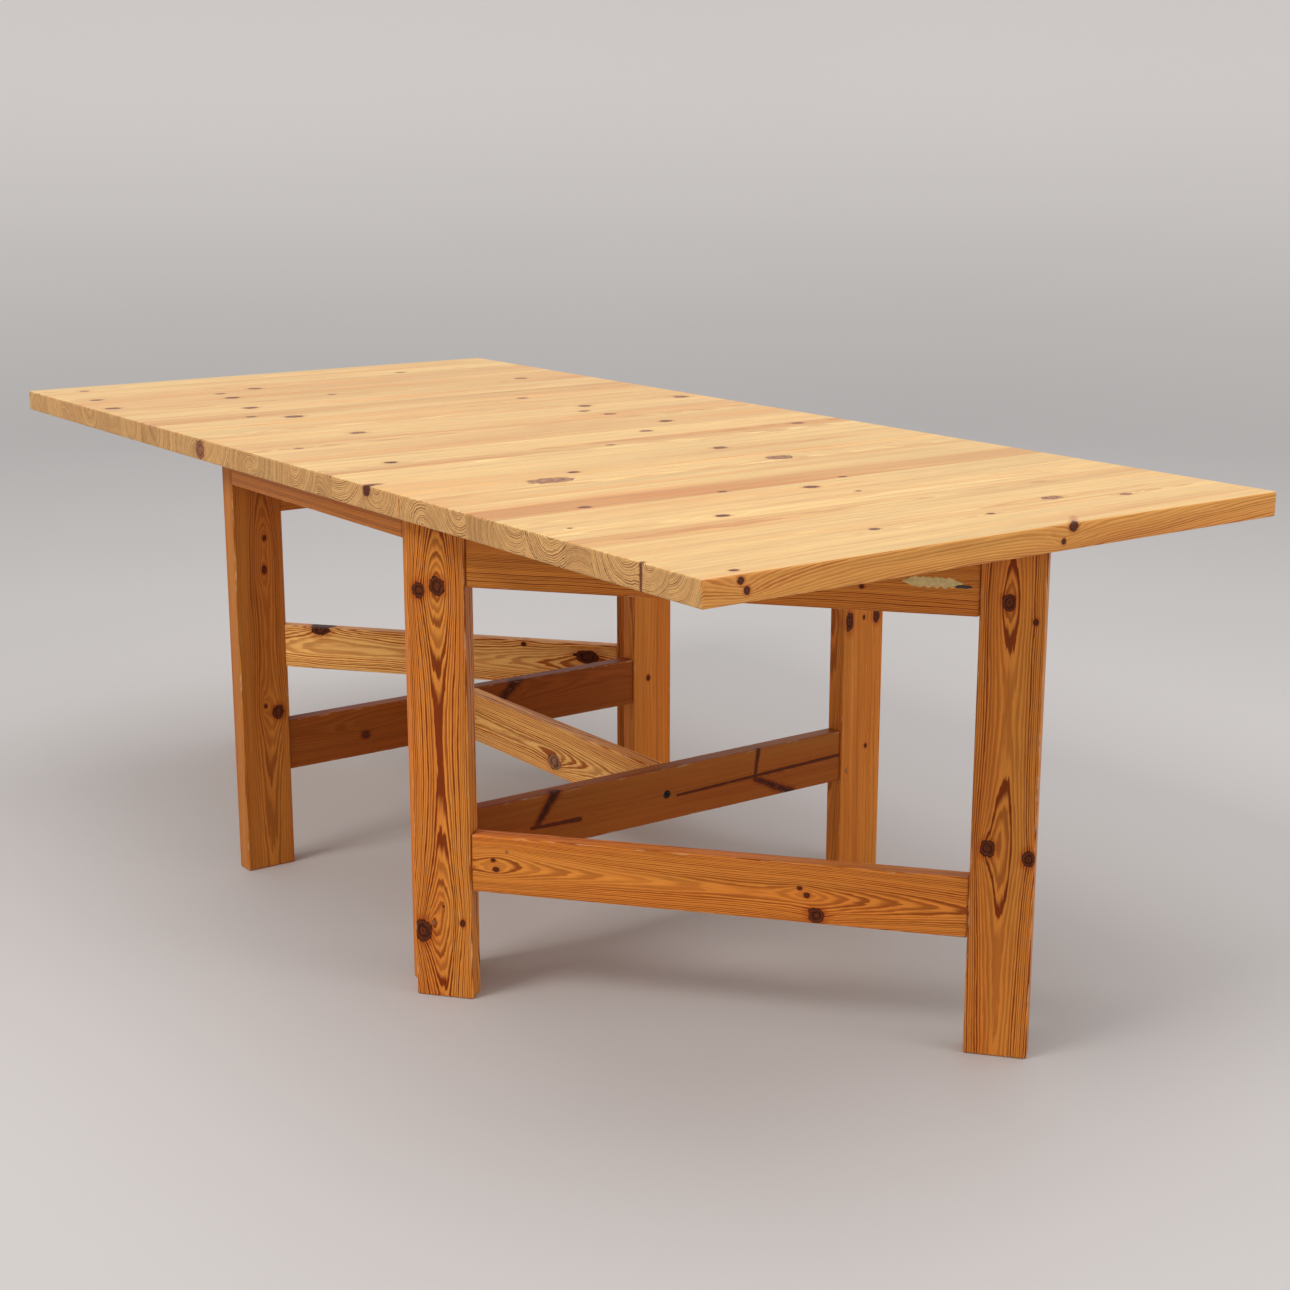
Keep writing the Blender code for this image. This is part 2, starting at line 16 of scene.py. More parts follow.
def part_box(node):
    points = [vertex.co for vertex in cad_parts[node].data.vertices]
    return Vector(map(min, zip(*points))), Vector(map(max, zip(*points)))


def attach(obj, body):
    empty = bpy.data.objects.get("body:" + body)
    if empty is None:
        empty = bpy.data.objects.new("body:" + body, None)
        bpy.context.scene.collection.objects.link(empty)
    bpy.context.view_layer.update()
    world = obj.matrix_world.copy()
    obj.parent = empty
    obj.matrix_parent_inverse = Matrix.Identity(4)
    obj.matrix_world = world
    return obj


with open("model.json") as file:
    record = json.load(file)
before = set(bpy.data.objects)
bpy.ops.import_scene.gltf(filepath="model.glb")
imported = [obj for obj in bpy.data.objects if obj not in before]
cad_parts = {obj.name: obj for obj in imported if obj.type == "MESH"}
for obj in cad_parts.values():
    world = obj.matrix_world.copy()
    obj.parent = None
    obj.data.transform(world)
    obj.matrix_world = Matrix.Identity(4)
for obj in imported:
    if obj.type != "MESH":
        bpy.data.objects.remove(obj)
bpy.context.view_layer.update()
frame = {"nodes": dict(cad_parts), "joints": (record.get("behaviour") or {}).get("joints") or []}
NODES = frame["nodes"]
JOINTS = {joint["name"]: joint for joint in frame["joints"]}

X, Y, Z = Vector((1, 0, 0)), Vector((0, 1, 0)), Vector((0, 0, 1))


# Node building ----------------------------------------------------------------------

class Maker:
    """Adds shader nodes to one tree. Values may be sockets, numbers or vectors."""

    def __init__(self, tree):
        self.tree = tree

    def plug(self, socket, value):
        if isinstance(value, bpy.types.NodeSocket):
            self.tree.links.new(value, socket)
        elif socket.type == "RGBA":
            socket.default_value = (*value, 1.0)
        else:
            socket.default_value = value

    def add(self, kind, *values, **settings):
        node = self.tree.nodes.new(f"ShaderNode{kind}")
        for name, setting in settings.items():
            setattr(node, name, setting)
        for socket, value in zip(node.inputs, values):
            if value is not None:
                self.plug(socket, value)
        return node

    def math(self, operation, *values, clamp=False):
        return self.add("Math", *values, operation=operation, use_clamp=clamp).outputs[0]

    def vector(self, operation, *values, output=0):
        return self.add("VectorMath", *values, operation=operation).outputs[output]

    def dot(self, a, b):
        return self.vector("DOT_PRODUCT", a, b, output=1)

    def length(self, a):
        return self.vector("LENGTH", a, output=1)

    def scaled(self, a, factor):
        node = self.add("VectorMath", a, operation="SCALE")
        self.plug(node.inputs["Scale"], factor)
        return node.outputs[0]

    def fade(self, value, start, end, low=0.0, high=1.0):
        """A smooth step from low at start to high at end."""
        node = self.add("MapRange", interpolation_type="SMOOTHSTEP")
        for name, number in zip(("Value", "From Min", "From Max", "To Min", "To Max"),
                                (value, start, end, low, high)):
            self.plug(node.inputs[name], number)
        return node.outputs["Result"]

    def blend(self, factor, a, b, kind="MIX"):
        node = self.add("Mix", data_type="RGBA", blend_type=kind)
        self.plug(node.inputs["Factor"], factor)
        for name, colour in (("A", a), ("B", b)):
            socket = next(s for s in node.inputs if s.name == name and s.type == "RGBA")
            self.plug(socket, colour)
        return next(s for s in node.outputs if s.type == "RGBA")

    def noise(self, position, scale, detail=2.0, roughness=0.5, colour=False):
        """Noise around zero, or a colour around zero, of a position scaled by a vector."""
        stretched = self.vector("MULTIPLY", position, scale)
        node = self.add("TexNoise")
        self.plug(node.inputs["Vector"], stretched)
        self.plug(node.inputs["Scale"], 1.0)
        self.plug(node.inputs["Detail"], detail)
        self.plug(node.inputs["Roughness"], roughness)
        if colour:
            return self.vector("SUBTRACT", node.outputs["Color"], (0.5, 0.5, 0.5))
        return self.math("SUBTRACT", node.outputs["Fac"], 0.5)

    def random(self, number):
        """One value in 0..1 and one colour for a whole number."""
        node = self.add("TexWhiteNoise", noise_dimensions="1D")
        self.plug(node.inputs["W"], number)
        return node.outputs["Value"], node.outputs["Color"]


def new_group(name, inputs, outputs):
    """A node group, its Maker, its input sockets by name, and its output node."""
    tree = bpy.data.node_groups.new(name, "ShaderNodeTree")
    for label, kind in inputs:
        tree.interface.new_socket(label, in_out="INPUT", socket_type=f"NodeSocket{kind}")
    for label, kind in outputs:
        tree.interface.new_socket(label, in_out="OUTPUT", socket_type=f"NodeSocket{kind}")
    maker = Maker(tree)
    entry = tree.nodes.new("NodeGroupInput")
    exit_node = tree.nodes.new("NodeGroupOutput")
    return tree, maker, entry.outputs, exit_node.inputs


def use_group(maker, tree, **values):
    node = maker.tree.nodes.new("ShaderNodeGroup")
    node.node_tree = tree
    for name, value in values.items():
        maker.plug(node.inputs[name.replace("_", " ")], value)
    return node.outputs


def new_material(name):
    material = bpy.data.materials.new(name)
    material.use_nodes = True
    shader = material.node_tree.nodes["Principled BSDF"]
    return material, Maker(material.node_tree), shader


# Pine -------------------------------------------------------------------------------
# A board's own coordinates are (along the grain, across the face, through the board).

RINGS_INPUTS = [("Position", "Vector"), ("Seed", "Float"), ("Pith", "Vector"), ("Lean", "Vector"),
                ("Ring", "Float"), ("Wander", "Float")]


def make_rings_group():
    """Growth rings round a pith line: the ring count outward from the pith."""
    tree, m, given, result = new_group("growth_rings", RINGS_INPUTS, [("Field", "Float")])
    shift = m.add("CombineXYZ", given["Seed"], given["Seed"], 0.0).outputs[0]
    place = m.vector("ADD", given["Position"], shift)
    drift = m.noise(place, (3.0, 17.0, 17.0), 2.0, 0.55, colour=True)
    along = m.add("SeparateXYZ", given["Position"]).outputs[0]
    pith = m.vector("ADD", given["Pith"], m.scaled(given["Lean"], along))
    away = m.vector("SUBTRACT", given["Position"], pith)
    away = m.vector("ADD", away, m.scaled(drift, given["Wander"]))
    radius = m.length(m.vector("MULTIPLY", away, (0.0, 1.0, 1.0)))
    count = m.math("DIVIDE", radius, given["Ring"])
    uneven = m.noise(m.add("CombineXYZ", count, given["Seed"], 0.0).outputs[0], (0.23, 1.0, 1.0), 1.0)
    m.plug(result["Field"], m.math("MULTIPLY_ADD", uneven, 2.2, count))
    return tree


KNOT_INPUTS = [("Position", "Vector"), ("Wobble", "Float"), ("Field", "Float"), ("Near", "Float"),
               ("Shade", "Float"), ("Start", "Vector"), ("Reach", "Vector"), ("Inverse", "Float"),
               ("Size", "Vector"), ("Flow", "Vector"), ("Lift", "Float"), ("Darkness", "Float")]


def make_knot_group():
    """One branch from Start along Reach. Near is the distance from its middle in its own
    radii, and the rings are lifted round it."""
    outputs = [("Field", "Float"), ("Near", "Float"), ("Shade", "Float")]
    tree, m, given, result = new_group("knot", KNOT_INPUTS, outputs)
    offset = m.vector("SUBTRACT", given["Position"], given["Start"])
    share = m.math("MULTIPLY", m.dot(offset, given["Reach"]), given["Inverse"], clamp=True)
    offset = m.vector("SUBTRACT", offset, m.scaled(given["Reach"], share))
    near = m.length(m.vector("MULTIPLY", offset, given["Size"]))
    taper = m.math("MULTIPLY_ADD", share, -0.45, 1.42)
    near = m.math("MULTIPLY_ADD", near, taper, given["Wobble"])
    flow = m.length(m.vector("MULTIPLY", offset, given["Flow"]))
    lift = m.math("DIVIDE", given["Lift"], m.math("ADD", flow, 1.0))
    m.plug(result["Field"], m.math("SUBTRACT", given["Field"], lift))
    closer = m.math("LESS_THAN", near, given["Near"])
    m.plug(result["Near"], m.math("MINIMUM", near, given["Near"]))
    change = m.math("SUBTRACT", given["Darkness"], given["Shade"])
    m.plug(result["Shade"], m.math("MULTIPLY_ADD", closer, change, given["Shade"]))
    return tree


FINISH_INPUTS = [("Position", "Vector"), ("Seed", "Float"), ("Field", "Float"), ("Near", "Float"),
                 ("Shade", "Float"), ("Facing", "Float"), ("Edge", "Float"), ("Light", "Color"),
                 ("Dark", "Color"), ("Line", "Float"), ("Tone", "Float"), ("Warmth", "Float")]
KNOT_HEART = (0.105, 0.022, 0.006)
KNOT_RIM = (0.026, 0.006, 0.003)
PALE_HEART = (0.340, 0.150, 0.070)
HALO = (0.66, 0.36, 0.20)
HEARTWOOD = (0.90, 0.58, 0.40)
END_TINT = (0.90, 0.71, 0.60)
END_LINE = (0.30, 0.19, 0.13)
# Pale colour for the arrises: partly rubbed wear, partly a painted highlight of the rounded edges catching the light.
WEAR_AND_HIGHLIGHT = (0.93, 0.78, 0.52)


def make_finish_group():
    """Turns the ring count and the knots into colour, roughness and relief."""
    outputs = [("Color", "Color"), ("Roughness", "Float"), ("Height", "Float")]
    tree, m, given, result = new_group("lacquered_pine", FINISH_INPUTS, outputs)
    shift = m.add("CombineXYZ", given["Seed"], given["Seed"], given["Seed"]).outputs[0]
    place = m.vector("ADD", given["Position"], shift)

    ragged = m.noise(place, (13.0, 150.0, 150.0), 3.0, 0.6)
    count = m.math("MULTIPLY_ADD", ragged, 1.25, given["Field"])
    phase = m.math("FRACT", count)
    number = m.math("FLOOR", count)
    pick, _ = m.random(m.math("ADD", number, given["Seed"]))
    rise = m.fade(phase, 0.16, 0.64)
    fall = m.fade(phase, 0.86, 1.0, 1.0, 0.0)
    late = m.math("MULTIPLY", rise, fall)
    strength = m.math("MULTIPLY_ADD", pick, 0.75, 0.35)
    late = m.math("MULTIPLY", late, strength)

    near = given["Near"]
    inside = m.fade(near, 0.9, 1.05, 1.0, 0.0)
    dark = m.blend(given["Facing"], given["Dark"], m.blend(1.0, given["Dark"], END_LINE, "MULTIPLY"))
    wood = m.blend(m.math("MULTIPLY", late, given["Line"], clamp=True), given["Light"], dark)

    fibre = m.noise(place, (14.0, 900.0, 900.0), 2.0, 0.6)
    streak = m.noise(place, (2.5, 95.0, 95.0), 3.0, 0.6)
    cloud = m.noise(place, (1.8, 11.0, 11.0), 2.0, 0.5)
    value = m.math("MULTIPLY_ADD", fibre, 0.34, 1.0)
    value = m.math("MULTIPLY_ADD", streak, 0.50, value)
    value = m.math("MULTIPLY_ADD", cloud, 0.22, value)
    value = m.math("MULTIPLY", value, given["Tone"])
    wood = m.scaled(wood, value)
    warm = m.math("MULTIPLY_ADD", m.noise(place, (1.9, 19.0, 19.0), 3.0), 1.9, given["Warmth"], clamp=True)
    warm = m.math("MULTIPLY", warm, m.math("MULTIPLY_ADD", given["Facing"], -0.8, 1.0))
    wood = m.blend(warm, wood, HEARTWOOD, "MULTIPLY")

    ducts = m.noise(place, (75.0, 1500.0, 1500.0), 0.0)
    ducts = m.math("MULTIPLY", m.fade(ducts, 0.24, 0.33), late)
    wood = m.blend(m.math("MULTIPLY", ducts, 0.5), wood, (0.45, 0.30, 0.20), "MULTIPLY")

    halo = m.fade(near, 1.0, 1.9, 0.6, 0.0)
    wood = m.blend(m.math("MULTIPLY", halo, given["Shade"]), wood, HALO, "MULTIPLY")
    grain = m.noise(place, (160.0, 160.0, 160.0), 3.0, 0.65)
    knot_ring = m.math("PINGPONG", m.math("MULTIPLY_ADD", grain, 0.9, m.math("MULTIPLY", near, 1.9)), 0.5)
    heart = m.blend(m.fade(given["Shade"], 0.35, 0.85), PALE_HEART, KNOT_HEART)
    heart = m.scaled(heart, m.math("MULTIPLY_ADD", knot_ring, 2.2, 0.35))
    rim = m.math("MULTIPLY", m.fade(near, 0.76, 0.94), m.math("MULTIPLY_ADD", grain, 2.6, 0.75, clamp=True))
    heart = m.blend(rim, heart, KNOT_RIM)
    colour = m.blend(inside, wood, heart)

    end_grain = m.blend(1.0, colour, END_TINT, "MULTIPLY")
    colour = m.blend(m.math("MULTIPLY", given["Facing"], 0.8), colour, end_grain)
    # The arrises are painted paler in broken dashes: partly rubbed wear and partly a painted highlight where the
    # rounded edges catch the light.
    edge_dashes = m.noise(place, (38.0, 210.0, 210.0), 3.0, 0.6)
    wear_and_highlight = m.math("MULTIPLY", given["Edge"], m.fade(edge_dashes, 0.04, 0.16))
    colour = m.blend(m.math("MULTIPLY", wear_and_highlight, 0.25), colour, WEAR_AND_HIGHLIGHT)
    m.plug(result["Color"], colour)

    rough = m.math("MULTIPLY_ADD", streak, 0.12, 0.40)
    rough = m.math("MULTIPLY_ADD", given["Facing"], 0.16, rough)
    rough = m.math("MULTIPLY_ADD", inside, 0.05, rough)
    m.plug(result["Roughness"], m.math("MULTIPLY_ADD", late, -0.06, rough))

    m.plug(result["Height"], m.math("ADD", m.math("MULTIPLY", fibre, 0.6), streak))
    return tree


RINGS = make_rings_group()
KNOT = make_knot_group()
FINISH = make_finish_group()

Knot = namedtuple("Knot", "start reach radius stretch lift spread dark")
Board = namedtuple("Board", "origin along across size")

NO_KNOT = 50.0
BUMP_DISTANCE = 0.0003


def through(u, v, radius, thickness, lift=5.0, stretch=1.25, dark=1.0, slant=(0.0, 0.0), spread=2.2):
    """A branch cut across: it shows as a round or oval knot on both faces of the board.
    u and v are its place on the outer face, which is at +thickness / 2."""
    reach = Vector((slant[0], slant[1], thickness * 1.2))
    start = Vector((u, v, thickness * 0.6)) - reach
    return Knot(start, reach, radius, stretch, lift, spread * radius, dark)


def spike(u1, v1, u2, v2, w, radius, lift=4.0, dark=1.0, spread=2.0):
    """A branch cut along its length: it lies in the face between two places."""
    start = Vector((u1, v1, w))
    return Knot(start, Vector((u2, v2, w)) - start, radius, 1.0, lift, spread * radius, dark)


def board_position(m, board):
    """Object coordinates turned into the board's own, its facing and its edges."""
    through_board = board.along.cross(board.across)
    coordinates = m.add("TexCoord").outputs
    offset = m.vector("SUBTRACT", coordinates["Object"], board.origin)
    parts = [m.dot(offset, axis) for axis in (board.along, board.across, through_board)]
    position = m.add("CombineXYZ", *parts).outputs[0]
    facing = m.math("ABSOLUTE", m.dot(coordinates["Normal"], board.along))
    half = board.size / 2
    insets = [m.math("SUBTRACT", side, m.math("ABSOLUTE", part)) for side, part in zip(half, parts)]
    low = m.math("MINIMUM", insets[0], insets[1])
    high = m.math("MAXIMUM", insets[0], insets[1])
    second = m.math("MAXIMUM", low, m.math("MINIMUM", high, insets[2]))
    edge = m.fade(second, 0.0006, 0.0042, 1.0, 0.0)
    return position, m.fade(facing, 0.5, 0.85), edge


def add_knots(m, position, field, knots):
    wobble = m.math("MULTIPLY", m.noise(position, (70.0, 130.0, 130.0), 3.0, 0.6), 0.95)
    near, shade = NO_KNOT, 1.0
    for knot in knots:
        across = 1.0 / knot.radius
        out = use_group(
            m, KNOT, Position=position, Wobble=wobble, Field=field, Near=near, Shade=shade,
            Start=knot.start, Reach=knot.reach, Inverse=1.0 / knot.reach.length_squared,
            Size=(across / knot.stretch, across, across),
            Flow=(0.4 / knot.spread, 1.0 / knot.spread, 1.0 / knot.spread),
            Lift=knot.lift, Darkness=knot.dark,
        )
        field, near, shade = out["Field"], out["Near"], out["Shade"]
    return field, near, shade


def finish_wood(m, shader, position, facing, edge, field, near, shade, seed, tone, warmth, look, line, sheen):
    light, dark = look
    out = use_group(
        m, FINISH, Position=position, Seed=seed, Field=field, Near=near, Shade=shade,
        Facing=facing, Edge=edge, Light=light, Dark=dark, Line=line, Tone=tone, Warmth=warmth,
    )
    m.plug(shader.inputs["Base Color"], out["Color"])
    m.plug(shader.inputs["Roughness"], out["Roughness"])
    bump = m.add("Bump")
    bump.inputs["Strength"].default_value = 0.5
    bump.inputs["Distance"].default_value = BUMP_DISTANCE
    m.plug(bump.inputs["Height"], out["Height"])
    m.plug(shader.inputs["Normal"], bump.outputs["Normal"])
    shader.inputs["Specular IOR Level"].default_value = sheen


FRAME_LOOK = ((0.750, 0.275, 0.044), (0.235, 0.042, 0.004))
PALE_LOOK = ((0.900, 0.500, 0.150), (0.400, 0.105, 0.014))
# TOP_LOOK and SIDE_SHADE_LOOK are one wood: the paler, greyer TOP_LOOK carries painted light and sheen, the deeper
# SIDE_SHADE_LOOK painted shade.
TOP_LOOK = ((0.760, 0.510, 0.205), (0.540, 0.250, 0.068))
SIDE_SHADE_LOOK = ((0.800, 0.370, 0.085), (0.430, 0.115, 0.014))


def paint(node, material):
    piece = NODES[node]
    piece.data.materials.clear()
    piece.data.materials.append(material)


def pine_piece(node, board, seed, pith, lean=(0.0, 0.0), ring=0.0014, wander=0.008, knots=(),
               tone=1.0, warmth=0.15, line=1.0, look=FRAME_LOOK):
    """One board of the frame. pith is the middle of the tree, across and through the board."""
    material, m, shader = new_material(f"pine_{node}")
    position, facing, edge = board_position(m, board)
    field = use_group(
        m, RINGS, Position=position, Seed=seed, Pith=(0.0, *pith), Lean=(0.0, *lean),
        Ring=ring, Wander=wander,
    )["Field"]
    field, near, shade = add_knots(m, position, field, knots)
    finish_wood(m, shader, position, facing, edge, field, near, shade, seed, tone, warmth, look, line, 0.10)
    paint(node, material)


# Top --------------------------------------------------------------------------------

Strip = namedtuple("Strip", "end tone warmth")


def top_panel(node, start, strips, knots, seed):
    """A panel glued up from strips side by side, each from its own part of a tree."""
    low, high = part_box(node)
    middle = (low + high) / 2
    board = Board(Vector((0, 0, middle.z)), Y, X, Vector((high.y - low.y, 2.1, high.z - low.z)))
    material, m, shader = new_material(f"pine_{node}")
    position, facing, edge = board_position(m, board)
    along, across, through_board = m.add("SeparateXYZ", position).outputs
    # Faces turned along X take the deeper SIDE_SHADE_LOOK, painted shade, and all other faces the paler TOP_LOOK,
    # painted light and sheen.
    outward = m.dot(m.add("TexCoord").outputs["Normal"], board.across)
    side_shade = m.fade(m.math("ABSOLUTE", outward), 0.3, 0.8)
    colours = [m.blend(side_shade, a, b) for a, b in zip(TOP_LOOK, SIDE_SHADE_LOOK)]

    # Walks over the strips: which one a point is in, its middle, tone and warmth
    index, look, joint, left = 0.0, None, 1.0, start
    previous = None
    for number, strip in enumerate(strips):
        facts = Vector(((left + strip.end) / 2, strip.tone, strip.warmth))
        if previous is None:
            look = m.vector("ADD", facts, (0.0, 0.0, 0.0))
        else:
            beyond = m.math("GREATER_THAN", across, left)
            index = m.math("ADD", index, beyond)
            look = m.vector("MULTIPLY_ADD", (beyond_vector(m, beyond)), facts - previous, look)
            gap = m.math("ABSOLUTE", m.math("SUBTRACT", across, left))
            joint = m.math("MINIMUM", joint, gap)
        previous, left = facts, strip.end
    centre, tone, warmth = m.add("SeparateXYZ", look).outputs
    _, picked = m.random(m.math("ADD", index, seed))
    pick = m.add("SeparateColor", picked).outputs
    local = m.add("CombineXYZ", along, m.math("SUBTRACT", across, centre), through_board).outputs[0]
    side = m.math("MULTIPLY", m.math("SUBTRACT", pick[0], 0.5), 0.11)
    depth = m.math("MULTIPLY", m.math("SUBTRACT", pick[1], 0.45), 0.15)
    pith = m.add("CombineXYZ", 0.0, side, depth).outputs[0]
    lean = m.add("CombineXYZ", 0.0, m.math("MULTIPLY", m.math("SUBTRACT", pick[2], 0.5), 0.02),
                 m.math("MULTIPLY", m.math("SUBTRACT", pick[0], 0.5), 0.05)).outputs[0]
    strip_seed = m.math("MULTIPLY_ADD", index, 3.7, seed)
    ring = m.math("MULTIPLY_ADD", pick[2], 0.0020, 0.0017)
    field = use_group(
        m, RINGS, Position=local, Seed=strip_seed, Pith=pith, Lean=lean, Ring=ring, Wander=0.012,
    )["Field"]
    field, near, shade = add_knots(m, position, field, knots)
    glue = m.fade(joint, 0.0002, 0.0011, 0.86, 1.0)
    tone = m.math("MULTIPLY", tone, glue)
    finish_wood(m, shader, local, facing, edge, field, near, shade, strip_seed, tone, warmth, colours,
                0.8, 0.2)
    paint(node, material)


def beyond_vector(m, value):
    return m.add("CombineXYZ", value, value, value).outputs[0]


TOP_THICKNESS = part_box("top_centre")[1].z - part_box("top_centre")[0].z


def top_knot(x, y, radius, dark=0.9, lift=4.0, stretch=1.3, slant=(0.0, 0.0)):
    return through(y, x, radius, -TOP_THICKNESS, lift, stretch, 0.75 * dark, slant)


def build_top():
    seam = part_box("top_centre")[1].x
    far_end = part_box("far_leaf")[0].x
    near_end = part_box("near_leaf")[1].x
    top_panel("near_leaf", seam, [
        Strip(0.425, 1.03, 0.05), Strip(0.478, 0.97, 0.25), Strip(0.525, 1.00, 0.15),
        Strip(0.592, 0.90, 0.60), Strip(0.663, 1.00, 0.12), Strip(0.7525, 1.02, 0.00),
        Strip(0.805, 0.94, 0.42), Strip(0.900, 1.01, 0.08), Strip(0.955, 0.98, 0.12),
        Strip(near_end, 0.99, 0.16),
    ], [
        top_knot(0.400, 0.130, 0.018, 0.10), top_knot(0.378, -0.255, 0.020, 0.05, stretch=1.8),
        top_knot(0.587, 0.090, 0.005), top_knot(0.587, -0.120, 0.005), top_knot(0.577, -0.335, 0.007),
        top_knot(0.627, 0.000, 0.009), top_knot(0.688, 0.030, 0.004),
        top_knot(0.727, -0.228, 0.008, 1.0), top_knot(0.875, 0.200, 0.010, 0.5, stretch=1.8),
        top_knot(0.912, 0.300, 0.007, 0.6), top_knot(0.912, 0.053, 0.0045),
        top_knot(0.905, -0.135, 0.006), top_knot(0.996, -0.422, 0.005, 1.0),
        top_knot(0.685, -0.430, 0.003), top_knot(0.9025, -0.478, 0.0035, 0.8),
        spike(-0.427, 0.990, -0.427, 1.020, -0.0090, 0.0050), spike(-0.418, 0.990, -0.418, 1.020, 0.0030, 0.0050),
        spike(0.076, 0.995, 0.076, 1.020, 0.0050, 0.0042), spike(0.125, 0.982, 0.090, 1.018, -0.0120, 0.0060),
    ], 3.0)
    top_panel("top_centre", -seam, [
        Strip(-0.285, 0.98, 0.25), Strip(-0.170, 1.00, 0.15), Strip(-0.085, 0.98, 0.28),
        Strip(0.035, 0.97, 0.25), Strip(0.120, 1.03, 0.02), Strip(0.165, 0.91, 0.55),
        Strip(0.255, 1.01, 0.05), Strip(seam, 1.00, 0.18),
    ], [
        top_knot(-0.250, 0.435, 0.012, 0.7), top_knot(-0.245, 0.225, 0.010), top_knot(-0.190, 0.185, 0.008, 0.7),
        top_knot(-0.135, 0.200, 0.009, 0.7), top_knot(-0.010, 0.225, 0.009, 1.0),
        top_knot(0.065, 0.132, 0.009, 0.6), top_knot(0.275, 0.117, 0.010, 0.8),
        top_knot(0.135, 0.385, 0.008, 0.8), top_knot(0.155, 0.000, 0.006, 0.6),
        top_knot(-0.185, -0.250, 0.011, 0.7), top_knot(0.110, -0.355, 0.008, 1.0),
        top_knot(-0.090, -0.400, 0.006, 0.6), top_knot(0.337, -0.190, 0.007, 1.0),
        spike(-0.455, -0.272, -0.492, -0.270, 0.001, 0.0165, dark=0.5, lift=4.0),
        spike(-0.462, 0.267, -0.490, 0.267, -0.0110, 0.0110, dark=0.8, lift=4.0),
    ], 17.0)
    top_panel("far_leaf", far_end, [
        Strip(-0.940, 1.01, 0.10), Strip(-0.850, 1.00, 0.15), Strip(-0.760, 0.97, 0.30),
        Strip(-0.675, 1.00, 0.20), Strip(-0.590, 0.98, 0.25), Strip(-0.500, 1.01, 0.12),
        Strip(-0.440, 0.90, 0.55), Strip(-seam, 1.01, 0.15),
    ], [
        top_knot(-0.655, 0.355, 0.010, 0.6), top_knot(-0.875, 0.215, 0.008, 0.5),
        top_knot(-0.400, 0.195, 0.008, 0.7), top_knot(-0.805, -0.130, 0.010, 0.8),
        top_knot(-0.770, -0.215, 0.008, 0.7), top_knot(-0.705, -0.222, 0.010, 1.0),
        top_knot(-0.560, -0.255, 0.011, 0.8), top_knot(-0.415, -0.245, 0.013, 0.8),
        top_knot(-0.455, -0.305, 0.007, 0.8), top_knot(-0.645, -0.055, 0.007, 0.6),
        top_knot(-0.950, -0.400, 0.007, 0.7), top_knot(-0.815, -0.430, 0.009, 0.8),
        top_knot(-0.690, -0.450, 0.011, 0.8),
    ], 31.0)


# Frame and gates --------------------------------------------------------------------

LEG_WIDTH, LEG_THICKNESS = 0.083, 0.034
RAIL_THICKNESS = 0.027


def boxed(node, along, across):
    """The board of an upright or square-set piece, with its origin in its middle."""
    low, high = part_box(node)
    through_board = along.cross(across)
    size = high - low
    return Board((low + high) / 2, along, across, Vector([abs(size.dot(a)) for a in (along, across, through_board)]))


class Gate:
    """Where the boards of one open gate stand."""

    def __init__(self, end):
        joint = JOINTS[f"{end}_gate_swing"]
        turn = math.radians(90 - joint["range_deg"][1]) + (math.pi if end == "far" else 0.0)
        self.along = Vector((math.cos(turn), math.sin(turn), 0))
        self.out = Vector((math.sin(turn), -math.cos(turn), 0))
        self.axis = Vector(joint["pos_m"])
        self.end = end

    def board(self, part, upright, width, thickness):
        """A board of the gate. Its face is the gate's outer face."""
        low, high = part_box(f"{self.end}_gate_{part}")
        middle = (low + high) / 2
        height = high.z - low.z
        if upright:
            return Board(middle, Z, self.along, Vector((height, width, thickness)))
        length = (high.xy - low.xy).length
        return Board(middle, self.along, Z, Vector((length, height, thickness)))


def leg_knot(height, v, radius, side=1, **more):
    """A knot through a leg, by its height above the floor."""
    return through(height - LEG_MIDDLE, v, radius, side * LEG_THICKNESS, **more)


LEG_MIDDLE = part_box("near_left_leg")[1].z / 2


